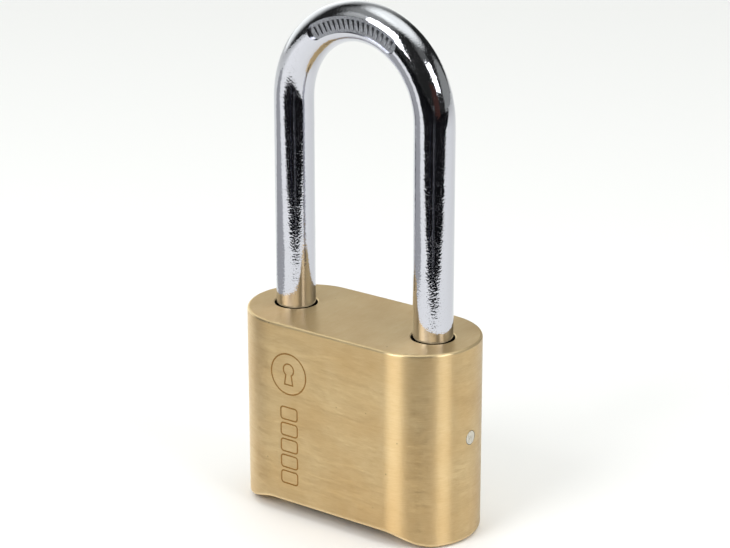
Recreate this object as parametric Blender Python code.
"""Brass combination padlock with four number wheels in its base.

Metres, +Z up. X runs along the width, with the heel (long) leg of the shackle at +X.
The front face looks along -Y. The origin is under the middle of the body, on the
plane of its two feet. The lock is closed, with its code dialled and its bolt drawn back.
"""
from math import cos, floor, pi, radians, sin

import bmesh
import bpy
from mathutils import Matrix, Vector

MM = 0.001
SHARP_ANGLE = radians(35)        # edges turning by more than this are shaded sharp

# Body
BODY_WIDTH = 51.0 * MM
BODY_DEPTH = 24.3 * MM
BODY_HEIGHT = 40.0 * MM
EDGE_ROUND = 0.55 * MM           # round the top rim
FOOT_ROUND = 1.1 * MM            # round the bottom rim
RELIEF_DEPTH = 2.5 * MM          # the base is hollowed between its two feet
RELIEF_BLEND = 10.0 * MM         # length of each curved run-out to a foot
FOOT_LENGTH = 2.3 * MM           # from each end of the body to its hollowed base, along the width

# Shackle
ROD_DIAMETER = 7.8 * MM
LEG_SPACING = 33.0 * MM
ARCH_RISE = 17.4 * MM            # from the top of the straight legs to the rod's centre line
SHACKLE_CLEARANCE = 55.2 * MM    # clear height under the closed shackle, above the body
TOE_DEPTH = 11.5 * MM            # how far the toe leg reaches into the body
LEG_END_CHAMFER = 0.8 * MM
NECK_DIAMETER = 4.6 * MM         # of the heel leg inside its turning groove
HEEL_FLANGE = 1.6 * MM           # full-width end of the heel leg, below the groove
BOLT_NOTCH_DEPTH = 2.6 * MM
PANEL_WIDTH = 3.2 * MM           # stamped panel on the front of the arch
PANEL_DEPTH = 0.7 * MM
PANEL_HALF_SPAN = radians(31.5)   # to the centre of each round end

# Retaining pin, pressed in from the heel end
PIN_DIAMETER = 2.7 * MM
PIN_HEIGHT = 21.3 * MM

# Number wheels
WHEEL_COUNT = 4
DIGIT_COUNT = 10
WHEEL_DIAMETER = 16.4 * MM
POCKET_WALL = 1.2 * MM           # brass left between the wheels' pocket and the heel leg's hole
WHEEL_FLOOR_GAP = 0.3 * MM       # wheels stay this far above the feet
WHEEL_GROOVE_DEPTH = 0.6 * MM
WHEEL_CHAMFER = 0.35 * MM
AT_STEP = radians(1)             # a corner this near a groove or a spline is on it
ROOF_CLEARANCE = 1.5 * MM         # over the wheels, for the detent spring
SPLINE_DEPTH = 0.7 * MM
SPLINE_HALF_ANGLE = radians(7)    # of each groove in a wheel's bore
SPLINE_GAP = 0.1 * MM            # more depth in those grooves than the bore's own gap gives
DIVIDER_THICKNESS = 0.6 * MM
DIVIDER_FOOT_GAP = 0.5 * MM       # above the level of the hollowed base
DIVIDER_TOP_GAP = 1.2 * MM        # below the detent spring's screws

# Gate sleeves and spindle
SLEEVE_DIAMETER = 9.2 * MM
SLEEVE_RECESS_DIAMETER = 6.8 * MM
GATE_THICKNESS = 1.0 * MM
GATE_SLOT_DIAMETER = 6.4 * MM
GATE_HALF_ANGLE = radians(28)
SPINDLE_DIAMETER = 3.0 * MM
LUG_DIAMETER = 5.6 * MM
LUG_THICKNESS = 1.0 * MM
LUG_HALF_ANGLE = radians(16)
KEY_SETBACK = 0.6 * MM           # the guide key's left end, from where the bush ends when locked
BOLT_DIAMETER = 4.6 * MM
BOLT_NOSE = 1.0 * MM
BUSH_LENGTH = 2.2 * MM
PLUG_LENGTH = 2.3 * MM
BORE_DIAMETER = 7.8 * MM
CLIP_THICKNESS = 0.6 * MM
CLIP_GROOVE_DEPTH = 0.5 * MM
CLIP_BITE = 0.25 * MM            # how far the clip reaches into its groove
CLIP_DIAMETER = 6.6 * MM
WASHER_THICKNESS = 0.6 * MM
SPRING_WIRE = 0.6 * MM
SPRING_DIAMETER = 4.8 * MM       # of the coil's centre line
SPRING_TURNS = 4.5

# Detent spring
LEAF_THICKNESS = 0.35 * MM
FINGER_WIDTH = 2.6 * MM
FINGER_STANDOFF = 0.9 * MM       # from the wheels' rims to the fingers' straight part
FINGER_BEND = 0.4 * MM           # bend at the top of each finger
BUMP_HALF = 2.0 * MM             # half the height of the bump that sits in a wheel's groove
LEAF_MARGIN = 2.4 * MM           # in front of the screws
LEAF_END_GAP = 0.2 * MM          # inside each end of the wheel stack
SCREW_OFFSET = 5.0 * MM          # behind the wheels' axis
SCREW_DIAMETER = 1.6 * MM
SCREW_HEAD_DIAMETER = 2.6 * MM
SCREW_HEAD_HEIGHT = 0.6 * MM
SCREW_LENGTH = 3.4 * MM

# Clearances
GAP = 0.3 * MM                   # between neighbours that touch or slide
PRESS_GAP = 0.1 * MM             # round a piece pressed into its hole
FLUSH_GAP = 0.02 * MM            # a piece faced flush stays this far below the surface
LEG_CLEARANCE = 0.4 * MM         # round each leg of the shackle
WALL_GAP = 0.4 * MM              # between the wheel stack and its pocket

# Places worked out from the sizes above
BODY_RADIUS = BODY_DEPTH / 2
END_CENTRE = BODY_WIDTH / 2 - BODY_RADIUS
RELIEF_HALF = BODY_WIDTH / 2 - FOOT_LENGTH - RELIEF_BLEND
LEG_X = LEG_SPACING / 2
ROD_RADIUS = ROD_DIAMETER / 2
LEG_HOLE_RADIUS = ROD_RADIUS + LEG_CLEARANCE
WHEEL_RADIUS = WHEEL_DIAMETER / 2
AXIS_Z = WHEEL_RADIUS + WHEEL_FLOOR_GAP
WHEEL_STEP = 2 * pi / DIGIT_COUNT
POCKET_HALF = LEG_X - LEG_HOLE_RADIUS - POCKET_WALL
STACK_HALF = POCKET_HALF - WALL_GAP
WHEEL_SPACE = DIVIDER_THICKNESS + 2 * GAP
WHEEL_WIDTH = (2 * STACK_HALF - (WHEEL_COUNT - 1) * WHEEL_SPACE) / WHEEL_COUNT
WHEEL_PITCH = WHEEL_WIDTH + WHEEL_SPACE
WHEEL_XS = [(i - (WHEEL_COUNT - 1) / 2) * WHEEL_PITCH for i in range(WHEEL_COUNT)]
DIVIDER_XS = [x + WHEEL_PITCH / 2 for x in WHEEL_XS[:-1]]
LUG_OFFSET = (GATE_THICKNESS + LUG_THICKNESS) / 2 + GAP
BOLT_TRAVEL = 2 * LUG_OFFSET
BOLT_RADIUS = BOLT_DIAMETER / 2
NECK_RADIUS = NECK_DIAMETER / 2
PIN_RADIUS = PIN_DIAMETER / 2
GROOVE_BOTTOM = AXIS_Z - BOLT_RADIUS - GAP
GROOVE_TOP = AXIS_Z + BOLT_RADIUS + GAP
HEEL_END = GROOVE_BOTTOM - HEEL_FLANGE
TOE_END = BODY_HEIGHT - TOE_DEPTH
SHACKLE_LIFT = PIN_HEIGHT - PIN_RADIUS - GAP - GROOVE_BOTTOM
ARCH_CENTRE = BODY_HEIGHT + SHACKLE_CLEARANCE + ROD_RADIUS - ARCH_RISE
ROOF_Z = AXIS_Z + WHEEL_RADIUS + ROOF_CLEARANCE
FINGER_Y = WHEEL_RADIUS + FINGER_STANDOFF
POCKET_BACK = FINGER_Y + LEAF_THICKNESS / 2 + WALL_GAP
POCKET_FRONT = WHEEL_RADIUS + WALL_GAP
PRESS_RADIUS = BORE_DIAMETER / 2 - PRESS_GAP
OVERSHOOT = 5.0 * MM             # how far a cutter runs past what it cuts


def clear_scene():
    for obj in list(bpy.data.objects):
        bpy.data.objects.remove(obj, do_unlink=True)


def material(name, color, metallic, roughness):
    """A plain material; color is linear red, green and blue."""
    mat = bpy.data.materials.new(name)
    mat.use_nodes = True
    shader = mat.node_tree.nodes["Principled BSDF"]
    shader.inputs["Base Color"].default_value = (*color, 1.0)
    shader.inputs["Metallic"].default_value = metallic
    shader.inputs["Roughness"].default_value = roughness
    return mat


def finish_object(name, mesh, mat, location=(0, 0, 0)):
    """Make an object of a mesh, shaded smooth except at its sharp edges."""
    obj = bpy.data.objects.new(name, mesh)
    bpy.context.collection.objects.link(obj)
    obj.location = location
    if mat is not None:
        mesh.materials.append(mat)
    mesh.shade_smooth()
    mesh.set_sharp_from_angle(angle=SHARP_ANGLE)
    return obj


def object_from_bmesh(name, bm, mat, location=(0, 0, 0)):
    bmesh.ops.remove_doubles(bm, verts=bm.verts, dist=1e-7)
    bmesh.ops.recalc_face_normals(bm, faces=bm.faces)
    mesh = bpy.data.meshes.new(name)
    bm.to_mesh(mesh)
    bm.free()
    return finish_object(name, mesh, mat, location)


def combine(obj, tool, operation="DIFFERENCE"):
    """Add an exact Boolean, and put its tool out of the way."""
    modifier = obj.modifiers.new(tool.name, "BOOLEAN")
    modifier.operation = operation
    modifier.solver = "EXACT"
    modifier.object = tool
    tool.hide_render = True
    tool.display_type = "WIRE"


def prism(name, outline, low, high, axis, mat=None, location=(0, 0, 0)):
    """Extrude an outline of 2-D points along X, Y or Z from low to high."""
    places = {"X": lambda a, b, t: (t, a, b), "Y": lambda a, b, t: (a, t, b), "Z": lambda a, b, t: (a, b, t)}
    place = places[axis]
    bm = bmesh.new()
    face = bm.faces.new([bm.verts.new(place(a, b, low)) for a, b in outline])
    moved = bmesh.ops.extrude_face_region(bm, geom=[face])["geom"]
    step = Vector(place(0, 0, high)) - Vector(place(0, 0, low))
    bmesh.ops.translate(bm, verts=[v for v in moved if isinstance(v, bmesh.types.BMVert)], vec=step)
    return object_from_bmesh(name, bm, mat, location)


def turned(name, stations, sides, mat=None, location=(0, 0, 0), closed=False):
    """Turn a profile about the X axis.

    Each station is a place along X and a radius, or a function that gives the radius
    at an angle from +Z. A closed profile comes back to its first station, as a ring's does.
    """
    bm = bmesh.new()
    loops = []
    for x, radius in stations:
        loop = []
        for i in range(sides):
            angle = 2 * pi * i / sides
            r = radius(angle) if callable(radius) else radius
            loop.append(bm.verts.new((x, r * sin(angle), r * cos(angle))))
        loops.append(loop)
    pairs = list(zip(loops, loops[1:]))
    if closed:
        pairs.append((loops[-1], loops[0]))
    else:
        bm.faces.new(loops[0])
        bm.faces.new(loops[-1])
    for near, far in pairs:
        for i in range(sides):
            j = (i + 1) % sides
            bm.faces.new((near[i], near[j], far[j], far[i]))
    return object_from_bmesh(name, bm, mat, location)


def cylinder(name, radius, low, high, centre, axis, sides=48, mat=None):
    """A cylinder along X or Z, from low to high, through a centre given in the other two."""
    obj = turned(name, [(low, radius), (high, radius)], sides, mat)
    if axis == "Z":
        obj.data.transform(Matrix.Rotation(-pi / 2, 4, "Y"))
        obj.location = (centre[0], centre[1], 0)
    else:
        obj.location = (0, centre[0], centre[1])
    return obj


def angle_from_step(angle, steps):
    """How far an angle is from the nearest of equally spaced ones that start at zero."""
    step = 2 * pi / steps
    return abs(angle - step * floor(angle / step + 0.5))


def body_outline(shrink, arc_steps=32):
    """Points round the body's plan, shrunk evenly, from the middle of its front face."""
    radius = BODY_RADIUS - shrink
    right = [-pi / 2 + pi * i / arc_steps for i in range(arc_steps + 1)]
    left = [pi / 2 + pi * i / arc_steps for i in range(arc_steps + 1)]
    points = [(END_CENTRE + radius * cos(a), radius * sin(a)) for a in right]
    points += [(-END_CENTRE + radius * cos(a), radius * sin(a)) for a in left]
    return points


def base_height(x):
    """Height of the hollowed base above its feet."""
    along = (abs(x) - RELIEF_HALF) / RELIEF_BLEND
    along = min(max(along, 0.0), 1.0)
    return RELIEF_DEPTH * (1 + cos(pi * along)) / 2


def make_body_blank(mat):
    """The body before it is drilled: full-round ends, rounded rims and a hollowed base."""
    foot_steps = 5
    rim_steps = 3
    bm = bmesh.new()
    rings = []
    for i in range(foot_steps + 1):
        turn = pi / 2 * i / foot_steps
        outline = body_outline(FOOT_ROUND * (1 - sin(turn)))
        lift = FOOT_ROUND * (1 - cos(turn))
        rings.append([bm.verts.new((x, y, base_height(x) + lift)) for x, y in outline])
    for i in range(rim_steps + 1):
        turn = pi / 2 * i / rim_steps
        outline = body_outline(EDGE_ROUND * (1 - cos(turn)))
        lift = EDGE_ROUND * (1 - sin(turn))
        rings.append([bm.verts.new((x, y, BODY_HEIGHT - lift)) for x, y in outline])
    count = len(rings[0])
    for near, far in zip(rings, rings[1:]):
        for i in range(count):
            j = (i + 1) % count
            bm.faces.new((near[i], near[j], far[j], far[i]))
    bm.faces.new(rings[-1])
    base = rings[0]
    half = count // 2
    opposite = [(half - 1 - i) % count for i in range(count)]
    start = half // 2
    for i in range(start, start + half):
        near, far = i % count, (i + 1) % count
        corners = [base[near], base[far], base[opposite[far]], base[opposite[near]]]
        bm.faces.new(list(dict.fromkeys(corners)))
    return object_from_bmesh("lock_body", bm, mat)


def box_outline(low_a, low_b, high_a, high_b):
    return [(low_a, low_b), (high_a, low_b), (high_a, high_b), (low_a, high_b)]


def make_body(mat):
    body = make_body_blank(mat)
    above = BODY_HEIGHT + OVERSHOOT
    combine(body, cylinder("cut_heel_hole", LEG_HOLE_RADIUS, HEEL_END - WALL_GAP, above, (LEG_X, 0), "Z"))
    combine(body, cylinder("cut_toe_hole", LEG_HOLE_RADIUS, TOE_END - WALL_GAP, above, (-LEG_X, 0), "Z"))
    pocket = box_outline(-POCKET_FRONT, -OVERSHOOT, POCKET_BACK, ROOF_Z)
    combine(body, prism("cut_wheel_pocket", pocket, -POCKET_HALF, POCKET_HALF, "X"))
    right = BODY_WIDTH / 2 + OVERSHOOT
    combine(body, cylinder("cut_spindle_bore", BORE_DIAMETER / 2, -right, 0, (0, AXIS_Z), "X"))
    combine(body, cylinder("cut_bolt_hole", BOLT_RADIUS + GAP, 0, LEG_X, (0, AXIS_Z), "X"))
    combine(body, cylinder("cut_pin_hole", PIN_RADIUS + PRESS_GAP, LEG_X, right, (0, PIN_HEIGHT), "X", 32))
    for i, x in enumerate(screw_places()):
        name = "cut_screw_hole_" + str(i + 1)
        screw_top = ROOF_Z + SCREW_LENGTH
        combine(body, cylinder(name, SCREW_DIAMETER / 2 + GAP, 0, screw_top, (x, SCREW_OFFSET), "Z", 16))
    return body


def flush_with_body(obj, name):
    """Trim a piece to the body's round end, a hair below its surface."""
    outline = body_outline(FLUSH_GAP)
    combine(obj, prism(name, outline, -OVERSHOOT, BODY_HEIGHT + OVERSHOOT, "Z"), "INTERSECT")


def arch_point(angle, offset=0.0):
    """A point in the shackle's plane, from +X at zero to the top at a quarter turn."""
    return Vector((LEG_X * cos(angle), 0, ARCH_CENTRE + ARCH_RISE * sin(angle))) + offset * arch_normal(angle)


def arch_normal(angle):
    return Vector((ARCH_RISE * cos(angle), 0, LEG_X * sin(angle))).normalized()


def make_shackle(mat):
    """A bent rod with a long heel leg and a short toe leg."""
    arch_steps = 36
    path = [Vector((LEG_X, 0, HEEL_END))]
    path += [arch_point(pi * i / arch_steps) for i in range(arch_steps + 1)]
    path.append(Vector((-LEG_X, 0, TOE_END)))
    curve = bpy.data.curves.new("shackle_path", "CURVE")
    curve.dimensions = "3D"
    curve.bevel_depth = ROD_RADIUS
    curve.bevel_resolution = 10
    curve.use_fill_caps = True
    spline = curve.splines.new("POLY")
    spline.points.add(len(path) - 1)
    for point, place in zip(spline.points, path):
        point.co = (*place, 1.0)
    rod = bpy.data.objects.new("shackle_rod", curve)
    bpy.context.collection.objects.link(rod)
    bpy.context.view_layer.update()
    mesh = bpy.data.meshes.new_from_object(rod.evaluated_get(bpy.context.evaluated_depsgraph_get()))
    bpy.data.objects.remove(rod, do_unlink=True)
    bm = bmesh.new()
    bm.from_mesh(mesh)
    bmesh.ops.remove_doubles(bm, verts=bm.verts, dist=1e-7)
    ends = [e for e in bm.edges if e.is_manifold and e.calc_face_angle() > radians(60)]
    bmesh.ops.bevel(bm, geom=ends, offset=LEG_END_CHAMFER, segments=2, profile=0.5, affect="EDGES")
    bmesh.ops.translate(bm, verts=bm.verts, vec=(0, 0, -BODY_HEIGHT))
    shackle = object_from_bmesh("shackle", bm, mat, (0, 0, BODY_HEIGHT))

    ring = [(GROOVE_BOTTOM, NECK_RADIUS), (GROOVE_BOTTOM, ROD_DIAMETER), (GROOVE_TOP, ROD_DIAMETER),
            (GROOVE_TOP, NECK_RADIUS)]
    groove = turned("cut_turning_groove", ring, 24, closed=True)
    groove.data.transform(Matrix.Rotation(-pi / 2, 4, "Y"))
    groove.location = (LEG_X, 0, 0)
    combine(shackle, groove)

    slot_half = PIN_RADIUS + GAP
    slot_top = PIN_HEIGHT + slot_half
    slot = box_outline(-slot_half, (GROOVE_BOTTOM + GROOVE_TOP) / 2, slot_half, slot_top)
    combine(shackle, prism("cut_pin_slot", slot, LEG_X + NECK_RADIUS, LEG_X + ROD_DIAMETER, "X"))

    notch = box_outline(-ROD_DIAMETER, GROOVE_BOTTOM, ROD_DIAMETER, GROOVE_TOP)
    notch_end = LEG_X - ROD_RADIUS + BOLT_NOTCH_DEPTH
    combine(shackle, prism("cut_bolt_notch", notch, LEG_X - ROD_DIAMETER, notch_end, "X"))

    panel = panel_outline()
    combine(shackle, prism("cut_arch_panel", panel, -ROD_DIAMETER, PANEL_DEPTH - ROD_RADIUS, "Y"))
    return shackle


def panel_outline(arc_steps=20, cap_steps=8):
    """An oblong with round ends that follows the arch, as points in X and Z."""
    half = PANEL_WIDTH / 2
    start = pi / 2 - PANEL_HALF_SPAN
    end = pi / 2 + PANEL_HALF_SPAN
    angles = [start + (end - start) * i / arc_steps for i in range(arc_steps + 1)]
    outer = [arch_point(a, half) for a in angles]
    inner = [arch_point(a, -half) for a in reversed(angles)]
    caps = []
    for angle, first in ((end, 0.0), (start, pi)):
        centre = arch_point(angle)
        radial = arch_normal(angle)
        along = Vector((-radial.z, 0, radial.x))
        turns = [first + pi * i / cap_steps for i in range(1, cap_steps)]
        caps.append([centre + half * (cos(t) * radial + sin(t) * along) for t in turns])
    return [(p.x, p.z) for p in outer + caps[0] + inner + caps[1]]


def make_retaining_pin(mat):
    """A steel dowel whose inner end rides in the heel leg's slot and keeps the shackle in."""
    inner_end = LEG_X + NECK_RADIUS + GAP
    outer_end = BODY_WIDTH / 2 + MM
    pin = cylinder("shackle_retaining_pin", PIN_RADIUS, inner_end, outer_end, (0, PIN_HEIGHT), "X", 32, mat)
    flush_with_body(pin, "trim_retaining_pin")
    return pin


def wheel_rim(angle):
    """Rim radius: a V groove half-way between each two digits."""
    at_groove = angle_from_step(angle + WHEEL_STEP / 2, DIGIT_COUNT) < AT_STEP
    return WHEEL_RADIUS - (WHEEL_GROOVE_DEPTH if at_groove else 0.0)


def wheel_bore(angle):
    """Bore radius, with a spline groove behind each digit."""
    bore = SLEEVE_DIAMETER / 2 + GAP
    at_spline = angle_from_step(angle, DIGIT_COUNT) < SPLINE_HALF_ANGLE
    return bore + (SPLINE_DEPTH + SPLINE_GAP if at_spline else 0.0)


def make_wheel(index, x, mat):
    half = WHEEL_WIDTH / 2
    edge = half - WHEEL_CHAMFER
    stations = [
        (-half, lambda a: wheel_rim(a) - WHEEL_CHAMFER),
        (-edge, wheel_rim),
        (edge, wheel_rim),
        (half, lambda a: wheel_rim(a) - WHEEL_CHAMFER),
        (half, wheel_bore),
        (-half, wheel_bore),
    ]
    name = "number_wheel_" + str(index)
    return turned(name, stations, 6 * DIGIT_COUNT, mat, (x, 0, AXIS_Z), closed=True)


def sleeve_outside(angle):
    """Sleeve radius, with one spline that picks the digit of the code."""
    at_spline = angle_from_step(angle, 1) < AT_STEP
    return SLEEVE_DIAMETER / 2 + (SPLINE_DEPTH if at_spline else 0.0)


def gate_bore(angle):
    """Radius inside a gate ring: a clear hole for the spindle, and one slot for its lug."""
    at_slot = angle_from_step(angle, 1) < GATE_HALF_ANGLE
    return GATE_SLOT_DIAMETER / 2 if at_slot else SPINDLE_DIAMETER / 2 + GAP


def make_sleeve(index, wheel, mat):
    half = WHEEL_WIDTH / 2
    gate = GATE_THICKNESS / 2
    recess = SLEEVE_RECESS_DIAMETER / 2
    stations = [
        (-half, sleeve_outside),
        (half, sleeve_outside),
        (half, recess),
        (gate, recess),
        (gate, gate_bore),
        (-gate, gate_bore),
        (-gate, recess),
        (-half, recess),
    ]
    sleeve = turned("gate_sleeve_" + str(index), stations, 4 * DIGIT_COUNT, mat, closed=True)
    sleeve.parent = wheel
    return sleeve


def make_divider(index, x, mat):
    """A thin plate between two wheels, held upright by the pocket's walls."""
    bottom = RELIEF_DEPTH + DIVIDER_FOOT_GAP
    top = ROOF_Z - SCREW_HEAD_HEIGHT - LEAF_THICKNESS - DIVIDER_TOP_GAP
    front = GAP - POCKET_FRONT
    back = FINGER_Y - LEAF_THICKNESS / 2 - GAP
    outline = box_outline(front, bottom, back, top)
    low = x - DIVIDER_THICKNESS / 2
    plate = prism("wheel_divider_" + str(index), outline, low, low + DIVIDER_THICKNESS, "X", mat)
    hole = cylinder("cut_divider_" + str(index), SLEEVE_RECESS_DIAMETER / 2, low - MM, low + MM * 2,
                    (0, AXIS_Z), "X", 32)
    combine(plate, hole)
    return plate


def spindle_places():
    """Where the pieces on the spindle's left end sit, from the pocket outwards."""
    bush_right = -POCKET_HALF - GAP
    bush_left = bush_right - BUSH_LENGTH
    clip_right = bush_left - GAP - BOLT_TRAVEL
    clip_left = clip_right - CLIP_THICKNESS
    plug_right = -BODY_WIDTH / 2 + PLUG_LENGTH
    washer_left = plug_right + GAP
    washer_right = washer_left + WASHER_THICKNESS
    return {
        "bush": (bush_left, bush_right),
        "clip": (clip_left, clip_right),
        "washer": (washer_left, washer_right),
        "plug": plug_right,
        "spring": (washer_right + GAP, clip_left - GAP),
    }


def lug_radius(angle):
    """Radius across a lug: a short tab that stands up from the spindle."""
    at_tab = angle_from_step(angle, 1) < LUG_HALF_ANGLE
    return LUG_DIAMETER / 2 if at_tab else SPINDLE_DIAMETER / 2


def make_spindle(mat):
    """A rod with one lug for each wheel, a guide key, and the bolt at its right end."""
    rod = SPINDLE_DIAMETER / 2
    places = spindle_places()
    bush_left, bush_right = places["bush"]
    clip_left, clip_right = places["clip"]
    tail = places["washer"][0] + GAP
    neck = rod - CLIP_GROOVE_DEPTH
    head_left = WHEEL_XS[-1] + GATE_THICKNESS / 2 + GAP
    head_right = LEG_X - ROD_RADIUS - GAP
    lugs = [(x - LUG_OFFSET - LUG_THICKNESS / 2, x - LUG_OFFSET + LUG_THICKNESS / 2) for x in WHEEL_XS]
    key = (bush_left - BOLT_TRAVEL + KEY_SETBACK, bush_right - BOLT_TRAVEL / 2)
    stations = [(tail, rod), (clip_left - GAP, rod), (clip_left - GAP, neck), (clip_right + GAP, neck),
                (clip_right + GAP, rod)]
    for left, right in [key] + lugs:
        stations += [(left, rod), (left, lug_radius), (right, lug_radius), (right, rod)]
    stations += [(head_left, rod), (head_left, BOLT_RADIUS), (head_right - BOLT_NOSE, BOLT_RADIUS),
                 (head_right, BOLT_RADIUS - BOLT_NOSE)]
    return turned("spindle_and_bolt", stations, 24, mat, (0, 0, AXIS_Z))


def make_guide_bush(mat):
    """Pressed into the bore; its slot keeps the spindle from turning."""
    def bore(angle):
        at_slot = angle_from_step(angle, 1) < GATE_HALF_ANGLE
        return LUG_DIAMETER / 2 + GAP if at_slot else SPINDLE_DIAMETER / 2 + GAP

    left, right = spindle_places()["bush"]
    stations = [(left, PRESS_RADIUS), (right, PRESS_RADIUS), (right, bore), (left, bore)]
    return turned("guide_bush", stations, 40, mat, (0, 0, AXIS_Z), closed=True)


def make_retaining_clip(spindle, mat):
    """The ring clip in the spindle's groove, which the return spring pushes on."""
    inner = SPINDLE_DIAMETER / 2 - CLIP_BITE
    left, right = spindle_places()["clip"]
    outer = CLIP_DIAMETER / 2
    clip = turned("spindle_clip", [(left, outer), (right, outer), (right, inner), (left, inner)], 24, mat,
                  closed=True)
    clip.parent = spindle
    return clip


def make_spring_washer(mat):
    left, right = spindle_places()["washer"]
    outer = CLIP_DIAMETER / 2
    inner = SPINDLE_DIAMETER / 2 + GAP
    stations = [(left, outer), (right, outer), (right, inner), (left, inner)]
    return turned("spring_seat_washer", stations, 24, mat, (0, 0, AXIS_Z), closed=True)


def make_bore_plug(mat):
    """Closes the spindle's bore, faced flush with the body's round end."""
    plug_right = spindle_places()["plug"]
    plug_left = -BODY_WIDTH / 2 - MM
    plug = cylinder("spindle_bore_plug", PRESS_RADIUS, plug_left, plug_right, (0, AXIS_Z), "X", 48, mat)
    flush_with_body(plug, "trim_bore_plug")
    return plug


def make_return_spring(mat):
    """A compression spring between the seat washer and the spindle's clip."""
    low, high = spindle_places()["spring"]
    low += SPRING_WIRE / 2
    high -= SPRING_WIRE / 2
    steps = 14
    count = int(SPRING_TURNS * steps)
    curve = bpy.data.curves.new("spindle_return_spring", "CURVE")
    curve.dimensions = "3D"
    curve.bevel_depth = SPRING_WIRE / 2
    curve.bevel_resolution = 1
    curve.use_fill_caps = True
    spline = curve.splines.new("POLY")
    spline.points.add(count)
    radius = SPRING_DIAMETER / 2
    for i, point in enumerate(spline.points):
        angle = 2 * pi * i / steps
        x = low + (high - low) * i / count
        point.co = (x, radius * sin(angle), radius * cos(angle), 1.0)
    spring = bpy.data.objects.new("spindle_return_spring", curve)
    bpy.context.collection.objects.link(spring)
    spring.location = (0, 0, AXIS_Z)
    curve.materials.append(mat)
    return spring


def screw_places():
    """The detent spring's screws sit over the first and last dividers."""
    return [DIVIDER_XS[0], DIVIDER_XS[-1]]


def make_detent_spring(mat):
    """A leaf under the pocket's roof, with a finger down behind each wheel."""
    leaf_z = ROOF_Z - LEAF_THICKNESS / 2 - GAP
    tip = wheel_groove_tip()
    path = [
        (SCREW_OFFSET - LEAF_MARGIN, leaf_z),
        (SCREW_OFFSET, leaf_z),
        (FINGER_Y - FINGER_BEND, leaf_z),
        (FINGER_Y, leaf_z - FINGER_BEND),
        (FINGER_Y, AXIS_Z + BUMP_HALF),
        (tip, AXIS_Z),
        (FINGER_Y, AXIS_Z - BUMP_HALF),
    ]
    strip_end = STACK_HALF - LEAF_END_GAP
    xs = [-strip_end]
    for x in WHEEL_XS:
        xs += [x - FINGER_WIDTH / 2, x + FINGER_WIDTH / 2]
    xs.append(strip_end)
    bm = bmesh.new()
    grid = [[bm.verts.new((x, y, z)) for x in xs] for y, z in path]
    for row in range(len(path) - 1):
        for column in range(len(xs) - 1):
            is_finger = column % 2 == 1
            if row < 2 or is_finger:
                near, far = grid[row], grid[row + 1]
                bm.faces.new((near[column], near[column + 1], far[column + 1], far[column]))
    loose = [v for v in bm.verts if not v.link_faces]
    bmesh.ops.delete(bm, geom=loose, context="VERTS")
    leaf = object_from_bmesh("detent_spring", bm, mat)
    solidify = leaf.modifiers.new("leaf_thickness", "SOLIDIFY")
    solidify.thickness = LEAF_THICKNESS
    solidify.offset = 0.0
    for i, x in enumerate(screw_places()):
        name = "cut_leaf_hole_" + str(i + 1)
        combine(leaf, cylinder(name, SCREW_DIAMETER / 2 + GAP, 0, ROOF_Z, (x, SCREW_OFFSET), "Z", 16))
    return leaf


def wheel_groove_tip():
    """How far forward a finger's bump reaches into a wheel's groove."""
    return WHEEL_RADIUS - WHEEL_GROOVE_DEPTH + LEAF_THICKNESS / 2 + GAP


def make_detent_screw(index, x, mat):
    head_top = ROOF_Z - LEAF_THICKNESS - 2 * GAP
    head_bottom = head_top - SCREW_HEAD_HEIGHT
    shank = SCREW_DIAMETER / 2
    head = SCREW_HEAD_DIAMETER / 2
    tip = ROOF_Z + SCREW_LENGTH - GAP
    stations = [(head_bottom, head), (head_top, head), (head_top, shank), (tip - shank / 2, shank),
                (tip, shank / 2)]
    screw = turned("detent_spring_screw_" + str(index), stations, 16, mat)
    screw.data.transform(Matrix.Rotation(-pi / 2, 4, "Y"))
    screw.location = (x, SCREW_OFFSET, 0)
    return screw


def main():
    clear_scene()
    brass = material("brushed_brass", (0.56, 0.38, 0.19), 1.0, 0.32)
    chrome = material("chrome_plate", (0.80, 0.80, 0.80), 1.0, 0.06)
    steel = material("plain_steel", (0.50, 0.50, 0.50), 1.0, 0.30)
    spring_steel = material("spring_steel", (0.36, 0.36, 0.38), 1.0, 0.25)
    sleeve_brass = material("turned_brass", (0.58, 0.42, 0.18), 1.0, 0.25)
    wheel_black = material("black_wheel", (0.012, 0.012, 0.013), 0.0, 0.45)

    make_body(brass)
    make_shackle(chrome)
    make_retaining_pin(steel)
    spindle = make_spindle(steel)
    make_retaining_clip(spindle, spring_steel)
    make_guide_bush(sleeve_brass)
    make_spring_washer(steel)
    make_bore_plug(sleeve_brass)
    make_return_spring(spring_steel)
    for index, x in enumerate(WHEEL_XS, start=1):
        wheel = make_wheel(index, x, wheel_black)
        make_sleeve(index, wheel, sleeve_brass)
    for index, x in enumerate(DIVIDER_XS, start=1):
        make_divider(index, x, steel)
    make_detent_spring(spring_steel)
    for index, x in enumerate(screw_places(), start=1):
        make_detent_screw(index, x, steel)
    print("shackle lift", round(SHACKLE_LIFT / MM, 3), "mm; bolt travel", round(BOLT_TRAVEL / MM, 3), "mm")


main()
